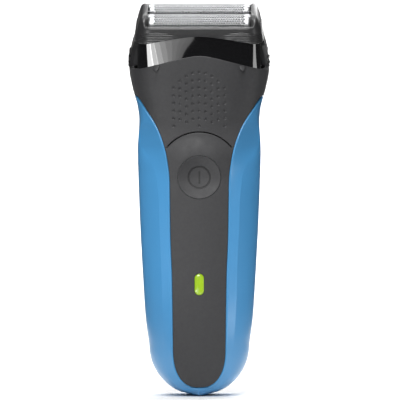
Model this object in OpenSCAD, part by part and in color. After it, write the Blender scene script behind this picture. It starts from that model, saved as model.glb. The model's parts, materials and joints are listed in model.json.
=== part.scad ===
/* [Grip body] */
// Thickness of the moulded body shells
wall = 2.0; // [1.8:0.1:2.2]
// Thickness of the soft pads laid into the shells
pad_t = 1.2; // [1.0:0.1:1.3]
// Width of the groove round each pad
groove = 0.25; // [0.2:0.05:0.3]
// Radius of the round lower end, seen from the front
end_r = 20.5; // [20.3:0.1:20.7]
// Depth position of the joint between front and rear shell
split_y = 1.5; // [1.3:0.1:1.7]
// Thickness of the seal between the shells
seal_t = 0.6; // [0.4:0.1:0.8]

/* [Head] */
// Forward tilt of the shaving head
head_tilt = 24; // [23.5:0.5:24.5]
// Distance of each foil's centre line from the head's centre
foil_pitch = 5.75; // [5.7:0.05:5.8]
// Outer radius of the foil arc
foil_r = 4.6; // [4.55:0.05:4.65]
// Thickness of the foil sheet
foil_t = 0.25; // [0.2:0.05:0.25]
// Half length of the foils
foil_x = 21.2; // [21:0.1:21.3]
// Distance between neighbouring cutter blades
blade_pitch = 1.2; // [1.1:0.1:1.4]

/* [Controls] */
// Radius of the power button's dish
button_r = 8.8; // [8.6:0.1:8.9]
// Travel of the power button
button_travel = 0.8; // [0.6:0.1:0.8]
// Travel of each head release button
release_travel = 1.5; // [1.2:0.1:1.5]
// Stroke of the cutter drive to each side
stroke = 1.2; // [1.0:0.1:1.2]

/* [Power] */
// Radius of the rechargeable cell
cell_r = 7.15; // [7.0:0.05:7.2]
// Length of the rechargeable cell
cell_l = 49; // [48:1:50]
// Radius of the two charging pins
pin_r = 0.6; // [0.5:0.1:0.7]
// Distance between the charging pins
pin_gap = 5; // [4.8:0.1:5.2]

/* [Hidden] */
fine = 64;
eps = 0.01;
bevel_gap = 0.43;
body_top = 148;
panel_black = "#4b4b4d";
panel_blue = "#3f8fc9";

// Centre lines of the body: each row is [height, value]
edge_rail = [[20, 10.8], [49, 11.15], [63, 11.7], [80, 12], [89, 12.2], [94, 12.8], [99.3, 13.8],
  [105.5, 15.7], [110.8, 18.1], [116, 21.4], [123, 26.1]];
width_rail = [[20.5, 20.5], [31, 21.9], [50, 23.15], [70, 24.2], [90, 24.95], [101, 25.2], [110, 24.65],
  [114, 24.65], [119, 25.4], [125.5, 27.2], [133, 28.6], [148, 28.8]];
strip_rail = [[116, 21.4], [123, 24], [133, 25.5], [148, 24.6]];
front_rail = [[0, -6.5], [1, -9.2], [3.6, -12], [8, -12.9], [20, -13.6], [40, -14], [60, -14.3],
  [80, -14.2], [95, -13.8], [107, -13.7], [120, -14.7], [133, -16.5], [148, -18]];
crown_rail = [[0, 0.1], [3.6, 0.2], [10, 0.6], [20, 0.8], [95, 0.9], [104, 1.3], [110.8, 2.8], [116, 5],
  [123, 6], [133, 7], [148, 8]];
crease_x_rail = [[0, 0.5], [1, 1.2], [3, 7], [6, 10.5], [10, 12.8], [20.6, 14], [39, 15.05], [55, 15.5],
  [67.5, 16.1], [80, 16.5], [86, 17.1], [91, 17.9], [96, 20.2], [101.8, 23.4], [104.2, 25], [108.5, 24.5],
  [110.8, 23.6], [116, 22.2], [123, 25.3], [133, 26.9], [148, 26.4]];
crease_y_rail = [[0, -5.6], [1, -8.2], [3, -9.4], [6, -10], [10, -10.4], [20, -10.6], [39, -11.2],
  [55, -11.7], [67, -11.8], [80, -11.4], [86, -10.6], [91, -9.4], [96, -7], [101.8, -2.6], [104.2, -1.2],
  [108.5, -2.4], [110.8, -4.6], [116, -7.8], [123, -7.6], [133, -7.9], [148, -8]];
rear_rail = [[0, 7], [1, 10], [4, 13], [10, 15.6], [20, 17.6], [40, 19.4], [60, 20.2], [80, 20], [100, 19],
  [115, 18], [126, 17.6], [133, 16.4], [138, 14.2], [143, 11], [148, 9]];

// Head and body landmarks
head_y = 1.5;
head_z = 130;
neck_y = -16.6;
neck_z = 138.1;
neck_tilt = 14;
neck_drop = 5.9;
neck_start = 108;
neck_blend = 10;
cassette_edge_w = 22.8;
cassette_drop = 3.7;
seam_r = 17.1;
seam_z = 90.2;
button_z = 89;
led_z = 45.6;
black_z = 123;
foil_w = 25;
cassette_x = 25.8;
cassette_u = 13;
skirt_u = 12;
motor_u = -3;
motor_r = 7.5;
socket_x = 6.9;
socket_y = 4.7;
socket_z = 1.5;
socket_floor = 13;
socket_l = 13.5;
socket_wall = 1.1;
pin_tip = 7;
pin_l = 10;
pin_root = 0.2;
post_r = 2.6;
screw_r = 0.88;
screw_head_r = 1.9;
screw_head_t = 1.4;
cell_y = 6.6;
cell_z = 22.4;
tab_t = 0.28;
board = [18, 1.2, 70];
board_y = -5.4;
board_z = 26;
board_hole_r = 1;
led_slot = [3.8, 8.7];
fit_gap = 0.2;
base_low = [23.4, 10.6, 6];
base_high = [25.4, 11.9, 6];
base_step_w = 5;
base_top_w = 24;
chamber = [39, 17.8];
deck_room = [22.1, 11.05, 1];
deck_room_w = 17.2;
deck_w = 13;
deck_t = 1.6;
deck_post_x = 16.5;
motor_l = 20;
shaft_r = 1;
crank_r = 0.9;
crank_sweep_r = 4.7;
drive_pin_r = 1.45;
release_half = 6;
release_side = [[23, 4], [28.7, 1], [29, 6.5], [28.9, 9.5], [28.3, 13.5], [27.6, 16.4], [26.9, 18.4],
  [26.4, 18.4], [26.3, 16.2], [23, 16.2]];
pocket_half = 6.6;
pocket_side = [[21.2, 3.5], [31.2, 3.5], [31.2, 18.7], [24.6, 18.7], [24.6, 16.5], [21.2, 16.5]];
carrier_w = 19;
carrier_t = 2.5;
blade_t = 0.3;
holder_w = 19.8;
holder = [21.9, 5.1, 1];
opening = [44.4, 22];
sill_w = 27.2;
sill_x = 21.45;
cheek_low_w = 24.5;
cheek_u = 10.9;
horn_side = [[25.7, 20], [25, 22.4], [24.35, 24.8], [23.4, 27.6], [22.6, 29.4], [22.1, 30.2]];
sill_corner = 4;
cheek_w = 22;
cheek_h = 8.2;
tooth_pitch = 1.2;
tooth_gap = 0.5;
dish_r = 41;
dish_depth = 1;
stem_r = 2.5;
stem_l = 2.3;
button_y = -11.6;
button_t = 2;
screw_low = [11.5, 18.8];
screw_high = [12, 101.5];

// Smooth curve through the rows of a rail
function row(t, z, i = 0) = (i >= len(t) - 2 || z < t[i + 1][0]) ? i : row(t, z, i + 1);
function grade(t, i) =
  let(a = max(i - 1, 0), b = min(i + 1, len(t) - 1)) (t[b][1] - t[a][1]) / (t[b][0] - t[a][0]);
function rail(t, z) =
  let(q = max(t[0][0], min(z, t[len(t) - 1][0])), i = row(t, q), h = t[i + 1][0] - t[i][0],
    s = (q - t[i][0]) / h)
  t[i][1] * (1 + 2 * s) * (1 - s) * (1 - s) + grade(t, i) * h * s * (1 - s) * (1 - s)
  + t[i + 1][1] * s * s * (3 - 2 * s) + grade(t, i + 1) * h * s * s * (s - 1);
function mix(a, b, s) = a * (1 - s) + b * s;

// Half width of the soft front panel: a round lower end, then the rail
function panel_x(z) = z < 20
  ? 10.8 * pow(max(0, 1 - pow(max(0, 20 - z) / 16.4, 2.4)), 1 / 2.4) : rail(edge_rail, z);
function half_w(z, inset) = z < end_r
  ? sqrt(max(2, pow(end_r - inset, 2) - pow(end_r - z, 2))) : rail(width_rail, z) - inset;
// Start of the bevel beside the panel, a little outside its groove
function edge_x(z) = z < 3.7 ? 0.3 + 0.1 * z
  : z < 116 ? max(0.7, panel_x(z) + bevel_gap) : rail(strip_rail, z);
// Arch of the neck and of the cassette's lower edge, 0 at the centre and 1 at 24 mm
function arch(x) = (sqrt(1 + pow(x / 6, 2)) - 1) / (sqrt(17) - 1);

// Front half of the section at one height: crowned panel, bevel up to the crease, rounded side
function facets(z, w, f, inset) =
  let(k = w / half_w(z, 0), b = min(edge_x(z) * k, w - 0.6), by = f + rail(crown_rail, z),
    c = max(b + 0.15, min(rail(crease_x_rail, z) * k, w - 0.12)),
    cy = min(rail(crease_y_rail, z) + inset, split_y - 1), py = min(cy + (w - c) * 0.9, split_y - 0.3))
  concat(
    [for (i = [0:4]) [b * i / 4, f + (by - f) * pow(i / 4, 2)]],
    [for (i = [1:2]) [mix(b, c, i / 2), mix(by, cy, i / 2)]],
    [for (i = [1:4]) let(s = i / 4) [mix(mix(c, w, s), w, s), mix(mix(cy, py, s), mix(py, split_y, s), s)]]);
// Oval front of the neck, which the facets run into
function oval(x, w, f) = split_y - (split_y - f) * pow(max(0, 1 - pow(min(1, x / w), 3)), 1 / 3);
function smooth(s) = let(q = max(0, min(1, s))) q * q * (3 - 2 * q);
// Half section of the body at one height, from front centre to rear centre
function section(z, inset) =
  let(w = half_w(z, inset), f = rail(front_rail, z) + inset, r = rail(rear_rail, z) - inset,
    blend = smooth((z - neck_start) / neck_blend))
  concat(
    [for (p = facets(z, w, f, inset)) [p[0], mix(p[1], oval(p[0], w, f), blend)]],
    [for (i = [1:7]) let(a = 90 * i / 7)
      [w * pow(cos(a), 0.8), split_y + (r - split_y) * pow(sin(a), 0.8)]]);
function ring(z, inset) = let(h = section(z, inset), n = len(h))
  concat([for (i = [0:n - 1]) [max(h[i][0], 0), h[i][1], z]],
    [for (i = [n - 2:-1:1]) [-h[i][0], h[i][1], z]]);
function levels(inset) = concat(
  [for (a = [0:9:81]) inset + (end_r - inset) * (1 - cos(a))],
  [for (z = [end_r:5.7:88]) z], [for (z = [91:3:124]) z], [for (z = [128:5:body_top]) z]);

// Solid of the body, drawn in by inset all round
module body(inset = 0) {
  rings = [for (z = levels(inset)) ring(z, inset)];
  n = len(rings[0]);
  last = len(rings) - 1;
  polyhedron(points = [for (r = rings) each r], convexity = 6, faces = concat(
    [[for (i = [0:n - 1]) i]], [[for (i = [n - 1:-1:0]) last * n + i]],
    [for (k = [0:last - 1]) for (i = [0:n - 1]) let(j = (i + 1) % n) each
      [[k * n + i, (k + 1) * n + i, (k + 1) * n + j], [k * n + i, (k + 1) * n + j, k * n + j]]]));
}
// Flat outline in X and Z, pushed through the depth between two Y positions
module through(y0, y1) {
  translate([0, y1, 0]) rotate([90, 0, 0]) linear_extrude(y1 - y0) children();
}
module head() {
  translate([0, head_y, head_z]) rotate([head_tilt, 0, 0]) children();
}
// Room below the neck line, raised by lift
module below_neck(lift = 0) {
  translate([0, neck_y, neck_z + lift]) rotate([neck_tilt, 0, 0]) through(-90, 90)
    polygon(concat([[-40, -190], [40, -190]], [for (x = [40:-4:-40]) [x, -neck_drop * arch(x)]]));
}
// Outline of the black panel: strip and upper field, grown by g
module panel_outline(g = 0, extra = 0) {
  zs = concat([for (z = [3.6:0.6:6]) z], [for (z = [7:1.5:19]) z], [for (z = [25:12:85]) z],
    [for (z = [89:3.4:123]) z]);
  right = [for (z = zs) [panel_x(z) + extra, z]];
  offset(delta = g) polygon(concat(right, [[40, black_z], [40, 160], [-40, 160], [-40, black_z]],
    [for (i = [len(right) - 1:-1:0]) [-right[i][0], right[i][1]]]));
}
module seam_disc(g = 0) {
  translate([0, seam_z]) circle(seam_r + g, $fn = fine);
}
module strip_outline(g = 0) {
  intersection() {
    panel_outline(g);
    union() {
      seam_disc(g);
      translate([-20, 0]) square([40, seam_z]);
    }
  }
}
module front_half(gap = 0) {
  translate([-50, -60, -10]) cube([100, 60 + split_y - gap, 180]);
}
module rear_half(gap = 0) {
  translate([-50, split_y + gap, -10]) cube([100, 60, 180]);
}
module stadium(size) {
  w = size[0];
  h = size[1];
  for (s = [-1, 1]) translate([0, s * (h - w) / 2]) circle(w / 2, $fn = fine);
  square([w, h - w], center = true);
}
module slot2d(half_l, r) {
  for (s = [-1, 1]) translate([s * half_l, 0]) circle(r, $fn = fine);
  square([2 * half_l, 2 * r], center = true);
}
module socket_hole(g) {
  translate([-socket_x - g, split_y - socket_y - g, -5])
    cube([2 * (socket_x + g), 2 * (socket_y + g), socket_floor + 5]);
}
module screw_posts(r, y0, y1) {
  for (s = [-1, 1]) for (p = [screw_low, screw_high])
    translate([s * p[0], y1, p[1]]) rotate([90, 0, 0]) cylinder(r = r, h = y1 - y0, $fn = 24);
}
// Room that the head base takes inside the body
module head_room() {
  g = 0.12;
  head() translate([0, 0, -base_step_w - g]) linear_extrude(12) head_plan(base_low, g);
  head() translate([0, 0, base_step_w - g]) linear_extrude(30) head_plan(base_high, g);
}
// Rounded plan of a head part: half length, half depth and corner radius, grown by g
module head_plan(size, g = 0) {
  x = size[0] + g;
  u = size[1] + g;
  r = size[2] + g;
  for (sx = [-1, 1]) for (su = [-1, 1]) translate([sx * (x - r), su * (u - r)]) circle(r, $fn = 48);
  square([2 * (x - r), 2 * u], center = true);
  square([2 * x, 2 * (u - r)], center = true);
}
module shell_body() {
  difference() {
    intersection() {
      body();
      below_neck();
    }
    body(wall);
    head_room();
    socket_hole(0.05);
  }
}
// Front half of the moulded housing
module front_shell() {
  color(panel_blue) resize([0, 0, 0]) difference() {
    union() {
      intersection() {
        shell_body();
        front_half(seal_t / 2);
      }
      intersection() {
        screw_posts(post_r, -14, split_y - seal_t / 2);
        body(wall - 0.3);
      }
    }
    difference() {
      through(-40, split_y) panel_outline(0);
      body(pad_t);
    }
    screw_posts(screw_r + 0.02, -8, 10);
    through(-40, 0) translate([0, button_z]) circle(button_r + fit_gap, $fn = 48);
    through(-40, 0) translate([0, led_z]) stadium(led_slot + [fit_gap, fit_gap]);
  }
}
// Rear half of the moulded housing
module rear_shell() {
  color(panel_blue) resize([0, 0, 0]) difference() {
    union() {
      intersection() {
        shell_body();
        rear_half(seal_t / 2);
      }
      intersection() {
        screw_posts(post_r, split_y + seal_t / 2, 20);
        body(wall - 0.3);
      }
    }
    difference() {
      through(split_y, 40) panel_outline(0, 3);
      body(pad_t);
    }
    screw_posts(screw_r + 0.32, 0, 30);
    screw_posts(screw_head_r + fit_gap, split_y + 4, 40);
  }
}
// Soft grip over the front of the neck
module upper_grip_pad() {
  color(panel_black) resize([0, 0, 0]) difference() {
    intersection() {
      body();
      below_neck();
      front_half(seal_t / 2);
      through(-40, split_y) difference() {
        panel_outline(-groove);
        strip_outline(groove + 0.1);
        translate([-40, 0]) square([80, seam_z + 4]);
      }
    }
    body(pad_t);
    head_room();
  }
}
// Long control strip below the seam
module centre_strip() {
  color(panel_black) resize([0, 0, 0]) difference() {
    intersection() {
      body();
      through(-40, 0) difference() {
        strip_outline(-groove);
        translate([0, button_z]) circle(button_r + fit_gap, $fn = 48);
        translate([0, led_z]) stadium(led_slot + [fit_gap, fit_gap]);
      }
    }
    body(pad_t);
  }
}
// Soft grip over the back
module rear_grip_pad() {
  color(panel_black) resize([0, 0, 0]) difference() {
    intersection() {
      body();
      below_neck();
      rear_half(seal_t / 2);
      through(split_y, 40) panel_outline(-groove, 3);
    }
    body(pad_t);
    head_room();
  }
}
// Thin gasket between the shells
module housing_seal() {
  color("#2a2a2c") resize([0, 0, 0]) difference() {
    intersection() {
      body(0.15);
      below_neck();
      translate([-50, split_y - seal_t / 2, -1]) cube([100, seal_t, 170]);
    }
    body(wall - 0.1);
    head_room();
    socket_hole(0.05);
    through(-10, 10) translate([-40, black_z - 1]) square([80, 60]);
  }
}
// Four screws that clamp the shells together
module housing_screws() {
  color("silver") {
    screw_posts(screw_r, -7.5, split_y + 4);
    screw_posts(screw_head_r, split_y + 4, split_y + 4 + screw_head_t);
  }
}
// Inner frame that carries cell and board
module chassis() {
  color("#5a5f66") {
    translate([-9, -3.2, 24]) cube([18, 1.4, 72]);
    for (z = [30, 64]) difference() {
      translate([-9, -1.8, z]) cube([18, 9.5, 3]);
      translate([0, cell_y, z - 1]) cylinder(r = cell_r + 0.05, h = 5, $fn = fine);
    }
    translate([-9, -1.8, 19.6]) cube([18, 12, 2]);
  }
}
// Rechargeable cell
module battery_cell() {
  color("#5f9e58") translate([0, cell_y, cell_z]) {
    cylinder(r = cell_r, h = cell_l, $fn = fine);
    translate([0, 0, cell_l]) cylinder(r = 2.6, h = 1, $fn = fine);
  }
}
// Nickel strips welded to both ends of the cell
module battery_tabs() {
  color("silver") {
    for (z = [cell_z - tab_t - 0.02, cell_z + cell_l + 1.02]) translate([-2, 0.4, z]) cube([4, 8, tab_t]);
  }
}
// Circuit board
module circuit_board() {
  color("#2f6b45") difference() {
    translate([-board[0] / 2, board_y, board_z]) cube(board);
    for (z = [board_z + 3, board_z + board[2] - 3])
      translate([7, 0, z]) rotate([90, 0, 0]) cylinder(r = board_hole_r, h = 12, $fn = 24);
  }
}
// Parts soldered to the board
module board_components() {
  color("#2b2b2e") {
    translate([-4, -7.1, 60]) cube([8, 1.7, 8]);
    translate([-6, -6.6, 34]) cube([3, 1.2, 2]);
    translate([3, -6.6, 34]) cube([3, 1.2, 2]);
    translate([0, board_y, 76]) rotate([90, 0, 0]) cylinder(r = 3, h = 3, $fn = 32);
  }
}
// Push switch under the power button
module tact_switch() {
  color("#3a3a3d") translate([-3, -8.4, button_z - 3]) cube([6, 3, 6]);
}
// Light source
module status_led() {
  color("#b6e04a") translate([-1.2, -6.8, led_z - 1.6]) cube([2.4, 1.4, 3.2]);
}
// Light pipe behind the window
module led_lens() {
  color("#a0cd2d") resize([0, 0, 0]) difference() {
    intersection() {
      body(0.1);
      through(-40, -7.2) translate([0, led_z]) stadium(led_slot);
    }
    translate([-1.4, -9, led_z - 2]) cube([2.8, 3, 4]);
  }
}
// Charging socket in the lower end
module power_socket() {
  color("#242426") difference() {
    translate([-socket_x, split_y - socket_y, socket_z]) cube([2 * socket_x, 2 * socket_y, socket_l]);
    translate([socket_wall - socket_x, split_y - socket_y + 1, 0])
      cube([2 * (socket_x - socket_wall), 2 * socket_y - 2, socket_floor]);
    for (s = [-1, 1]) translate([s * pin_gap / 2, split_y, socket_floor - 3])
      cylinder(r = pin_r + pin_root, h = 8, $fn = fine);
  }
}
// Two charging pins, wider where they pass through the socket's floor
module socket_pins() {
  color("#d8d2b8") for (s = [-1, 1]) translate([s * pin_gap / 2, split_y, 0]) {
    translate([0, 0, pin_tip]) cylinder(r = pin_r, h = pin_l, $fn = fine);
    translate([0, 0, socket_floor])
      cylinder(r = pin_r + pin_root, h = pin_tip + pin_l - socket_floor, $fn = fine);
  }
}
// Motor housing
module motor_can() {
  color("#9a9da1") head() translate([0, motor_u, 0]) difference() {
    translate([0, 0, -1 - motor_l]) cylinder(r = motor_r, h = motor_l, $fn = fine);
    translate([0, 0, -6]) cylinder(r = shaft_r + 0.05, h = 8, $fn = fine);
  }
}
module motor_terminals() {
  color("#c9b458") head() for (s = [-1, 1])
    translate([s * 3 - 0.9, motor_u - 0.25, -3.5 - motor_l]) cube([1.8, 0.5, 2.5]);
}
// Two leads from the board to the motor
module motor_leads() {
  color("#8c2f2f") for (s = [-1, 1]) {
    translate([s * 3, -4.8, 96.01]) cylinder(r = 0.5, h = 8.19, $fn = 24);
    translate([s * 3, -4.8, 104.2]) sphere(0.5, $fn = 24);
    translate([s * 3, -4.8, 104.2]) rotate([-90, 0, 0]) cylinder(r = 0.5, h = 12.3, $fn = 24);
  }
}
// Base of the shaving head, with motor seat and drive chamber
module head_base() {
  color("#151517") head() difference() {
    union() {
      translate([0, 0, -base_step_w]) linear_extrude(2 * base_step_w + 1) head_plan(base_low);
      translate([0, 0, base_step_w]) linear_extrude(base_top_w - base_step_w) head_plan(base_high);
    }
    translate([0, motor_u, -6]) cylinder(r = motor_r + 0.1, h = 6, $fn = fine);
    translate([0, motor_u, -1]) cylinder(r = 2.2, h = 6, $fn = fine);
    translate([-chamber[0] / 2, -chamber[1] / 2, 3]) cube([chamber[0], chamber[1], 30]);
    translate([0, 0, deck_room_w]) linear_extrude(30) head_plan(deck_room);
    for (s = [-1, 1]) through(-pocket_half, pocket_half) polygon([for (p = pocket_side) [s * p[0], p[1]]]);
    for (s = [-1, 1]) through(-30, 30) side_cut(s);
  }
  color("#151517") head() for (s = [-1, 1]) translate([s * deck_post_x, 0, 3 - eps]) difference() {
    cylinder(r = 2.4, h = 10, $fn = 32);
    translate([0, 0, 2]) cylinder(r = 0.95, h = 9, $fn = 24);
  }
}
// Room above the cassette's lower edge at each end of the head
module side_cut(s) {
  polygon(concat([for (x = [19.6:1.6:27.6]) [s * x, cassette_edge_w - cassette_drop * arch(x) - 0.1]],
    [[s * 27.6, 40], [s * 19.6, 40]]));
}
// Cover over the drive chamber
module drive_deck() {
  color("#3c3f44") head() translate([0, 0, deck_w]) difference() {
    translate([fit_gap - chamber[0] / 2, fit_gap - chamber[1] / 2, 0])
      cube([chamber[0] - 2 * fit_gap, chamber[1] - 2 * fit_gap, deck_t]);
    for (s = [-1, 1]) translate([0, s * foil_pitch, -1]) linear_extrude(4) slot2d(1.6, 2.2);
    for (s = [-1, 1]) translate([s * deck_post_x, 0, -1]) cylinder(r = 1.1, h = 4, $fn = 24);
  }
}
// Soft collars round the drive pins
module drive_membranes() {
  color("#5b5e63") head() for (s = [-1, 1]) translate([0, s * foil_pitch, deck_w + deck_t])
    linear_extrude(1.2) difference() {
      slot2d(1.8, 2.8);
      slot2d(1.5, 1.75);
    }
}
module deck_screws() {
  color("silver") head() for (s = [-1, 1]) translate([s * deck_post_x, 0, 0]) {
    translate([0, 0, deck_w + deck_t]) cylinder(r = 1.8, h = 1, $fn = 32);
    translate([0, 0, 8]) cylinder(r = 0.93, h = 6.6 + eps, $fn = 24);
  }
}
// Leaf springs behind the release buttons
module release_springs() {
  color("silver") head() for (s = [-1, 1]) translate([s * 21.35 - 0.12, -3, 6]) cube([0.24, 6, 8]);
}
// Power button: dished disc on a stem
module power_button() {
  color("#434345") translate([0, button_y, button_z]) rotate([90, 0, 0]) rotate_extrude($fn = fine)
    polygon(concat([[0, -stem_l], [stem_r, -stem_l], [stem_r, 0], [button_r, 0]],
      [for (i = [8:-1:0]) let(r = button_r * i / 8)
        [r, button_t - dish_depth + dish_r - sqrt(dish_r * dish_r - r * r)]]));
}
// Head release button on side s
module release_button(s) {
  color("#2c2c2e") difference() {
    head() through(-release_half, release_half) polygon([for (p = release_side) [s * p[0], p[1]]]);
    below_neck(0.8);
  }
}
module release_button_left() {
  release_button(-1);
}
module release_button_right() {
  release_button(1);
}
module motor_shaft() {
  color("silver") head() translate([0, motor_u, -5]) cylinder(r = shaft_r, h = 9.2, $fn = fine);
}
// Disc with the crank pin
module eccentric() {
  color("#b9a24a") head() translate([0, motor_u, 0]) {
    difference() {
      translate([0, 0, 3.6]) cylinder(r = 2.4, h = 1.5, $fn = fine);
      translate([0, 0, 3]) cylinder(r = shaft_r, h = 1.2, $fn = fine);
    }
    translate([stroke, 0, 5]) cylinder(r = crank_r, h = 2.8, $fn = fine);
  }
}
// Bridge that turns the crank's orbit into the cutters' stroke
module drive_bridge() {
  color("#8a8f96") head() difference() {
    translate([-11, -8.4, 5.6]) cube([22, 16.8, 4.9]);
    translate([0, motor_u, 5]) cylinder(r = crank_sweep_r, h = 3.3, $fn = fine);
  }
}
module drive_pins() {
  color("silver") head() for (s = [-1, 1]) translate([0, s * foil_pitch, 10.5]) {
    cylinder(r = drive_pin_r, h = 10, $fn = fine);
    cylinder(r = 2, h = 2, $fn = fine);
  }
}
// Carrier that holds one row of blades
module cutter_carrier(side) {
  color("#4d7fb0") head() translate([0, side * foil_pitch, 0]) difference() {
    union() {
      translate([-17.3, -3.2, carrier_w]) cube([34.6, 6.4, carrier_t]);
      translate([0, 0, carrier_w]) cylinder(r = 2.6, h = 4.3, $fn = fine);
    }
    translate([0, 0, carrier_w - 1]) cylinder(r = drive_pin_r + 0.05, h = 4.7, $fn = fine);
  }
}
// Arch of one blade or foil: outer radius, inner radius, foot height
module arch2d(ro, ri, foot) {
  difference() {
    union() {
      translate([0, foil_w]) circle(ro, $fn = fine);
      translate([-ro, foot]) square([2 * ro, foil_w - foot]);
    }
    translate([0, foil_w]) circle(ri, $fn = fine);
    translate([-ri, foot - 1]) square([2 * ri, foil_w - foot + 1]);
    translate([-ro - 1, foot - 10]) square([2 * ro + 2, 10]);
  }
}
module along_x(x0, x1) {
  translate([x0, 0, 0]) rotate([90, 0, 90]) linear_extrude(x1 - x0) children();
}
module cutter_blades(side) {
  color("#c8ccd0") head() translate([0, side * foil_pitch, 0]) for (x = [-16.8:blade_pitch:16.9])
    along_x(x - blade_t / 2, x + blade_t / 2) arch2d(foil_r - foil_t - fit_gap, 2.9, carrier_w + carrier_t);
}
// Spring that presses one cutter up into its foil
module cutter_spring(side) {
  color("silver") head() translate([0, side * foil_pitch, 0]) for (w = [16.1:0.6:18.6])
    translate([0, 0, w]) rotate_extrude($fn = 32) translate([1.95, 0]) circle(0.2, $fn = 16);
}
module front_cutter_carrier() {
  cutter_carrier(-1);
}
module rear_cutter_carrier() {
  cutter_carrier(1);
}
module front_cutter_blades() {
  cutter_blades(-1);
}
module rear_cutter_blades() {
  cutter_blades(1);
}
module front_cutter_spring() {
  cutter_spring(-1);
}
module rear_cutter_spring() {
  cutter_spring(1);
}
// Side outline of the cassette's ends: one full dome over a block
module cassette_end2d() {
  dome = [for (a = [0:10:90]) [cassette_u * pow(cos(a), 2 / 3), cheek_w + cheek_h * pow(sin(a), 2 / 3)]];
  polygon(concat([[-cassette_u, 10], [cassette_u, 10]], dome,
    [for (i = [len(dome) - 2:-1:0]) [-dome[i][0], dome[i][1]]]));
}
// Window over the foils, with round lower corners
module sill2d() {
  corner = [for (a = [0:15:90])
    [sill_x - sill_corner + sill_corner * sin(a), sill_w + sill_corner * (1 - cos(a))]];
  polygon(concat(corner, [[sill_x, 40], [-sill_x, 40]],
    [for (i = [len(corner) - 1:-1:0]) [-corner[i][0], corner[i][1]]]));
}
// Front outline of the cassette: arched lower edge, rounded horns
module cassette_front2d() {
  polygon(concat([for (x = [-cassette_x:3.225:cassette_x]) [x, cassette_edge_w - cassette_drop * arch(x)]],
    horn_side, [for (i = [len(horn_side) - 1:-1:0]) [-horn_side[i][0], horn_side[i][1]]]));
}
// Frame of the foil cassette
module cassette_frame() {
  color("#333335") head() difference() {
    intersection() {
      translate([0, 0, 10]) linear_extrude(25) head_plan([cassette_x, cassette_u, 6]);
      along_x(-30, 30) cassette_end2d();
      through(-30, 30) cassette_front2d();
    }
    translate([-opening[0] / 2, -opening[1] / 2, 10]) cube([opening[0], opening[1], cheek_low_w - 10]);
    translate([-sill_x, -cheek_u, cheek_low_w - 1]) cube([2 * sill_x, 2 * cheek_u, 10]);
    translate([-19.8, -skirt_u, 10]) cube([39.6, 2 * skirt_u, 14.2]);
    through(-30, 30) sill2d();
  }
}
// Perforated shaving foil, drawn as a plain arch
module foil(side) {
  color("#c9ccd0") head() translate([0, side * foil_pitch, 0]) along_x(-foil_x, foil_x)
    arch2d(foil_r, foil_r - foil_t, 20.2);
}
module foil_holder(side) {
  color("#3a3a3d") head() translate([0, side * foil_pitch, holder_w]) difference() {
    linear_extrude(2.4) head_plan(holder);
    translate([-foil_x, -foil_r, -1]) cube([2 * foil_x, 2 * foil_r, 5]);
  }
}
module front_foil() {
  foil(-1);
}
module rear_foil() {
  foil(1);
}
module front_foil_holder() {
  foil_holder(-1);
}
module rear_foil_holder() {
  foil_holder(1);
}
// Middle trimmer: toothed comb with a slot for its blade
module trimmer_comb() {
  color("#b4b8bd") head() difference() {
    translate([-sill_x, -0.5, 19.5]) cube([2 * sill_x, 1, 9.3]);
    translate([-20, -0.2, 19]) cube([40, 0.4, 9.2]);
    for (x = [-18:tooth_pitch:18.1]) translate([x - tooth_gap / 2, -1, 27.6]) cube([tooth_gap, 2, 3]);
  }
}
module trimmer_blade() {
  color("#d5d8dc") head() difference() {
    translate([-18.5, -0.12, 20]) cube([37, 0.24, 8.1]);
    for (x = [-17.4:tooth_pitch:17.5]) translate([x - tooth_gap / 2, -1, 27.5]) cube([tooth_gap, 2, 3]);
  }
}

front_shell();
rear_shell();
upper_grip_pad();
centre_strip();
rear_grip_pad();
housing_seal();
housing_screws();
chassis();
battery_cell();
battery_tabs();
circuit_board();
board_components();
tact_switch();
status_led();
led_lens();
power_socket();
socket_pins();
motor_can();
motor_terminals();
motor_leads();
head_base();
drive_deck();
drive_membranes();
deck_screws();
release_springs();
power_button();
release_button_left();
release_button_right();
motor_shaft();
eccentric();
drive_bridge();
drive_pins();
front_cutter_carrier();
front_cutter_blades();
front_cutter_spring();
rear_cutter_carrier();
rear_cutter_blades();
rear_cutter_spring();
cassette_frame();
front_foil();
front_foil_holder();
rear_foil();
rear_foil_holder();
trimmer_comb();
trimmer_blade();
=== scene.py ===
import json
import math

import bmesh
import bpy
import numpy as np
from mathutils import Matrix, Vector


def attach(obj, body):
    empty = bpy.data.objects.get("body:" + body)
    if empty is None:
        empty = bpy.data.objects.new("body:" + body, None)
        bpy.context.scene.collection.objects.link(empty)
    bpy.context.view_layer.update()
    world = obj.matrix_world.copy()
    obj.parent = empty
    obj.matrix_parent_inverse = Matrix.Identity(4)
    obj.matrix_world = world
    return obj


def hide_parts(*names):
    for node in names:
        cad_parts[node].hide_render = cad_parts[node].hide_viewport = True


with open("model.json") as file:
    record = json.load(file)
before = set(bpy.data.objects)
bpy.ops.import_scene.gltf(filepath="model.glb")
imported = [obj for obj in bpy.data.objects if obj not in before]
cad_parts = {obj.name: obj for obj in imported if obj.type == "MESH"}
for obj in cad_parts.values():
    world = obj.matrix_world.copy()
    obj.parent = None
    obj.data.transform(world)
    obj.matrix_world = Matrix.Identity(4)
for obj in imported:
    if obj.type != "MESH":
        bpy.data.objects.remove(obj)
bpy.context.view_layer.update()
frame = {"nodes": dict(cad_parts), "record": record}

MM = 0.001

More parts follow.
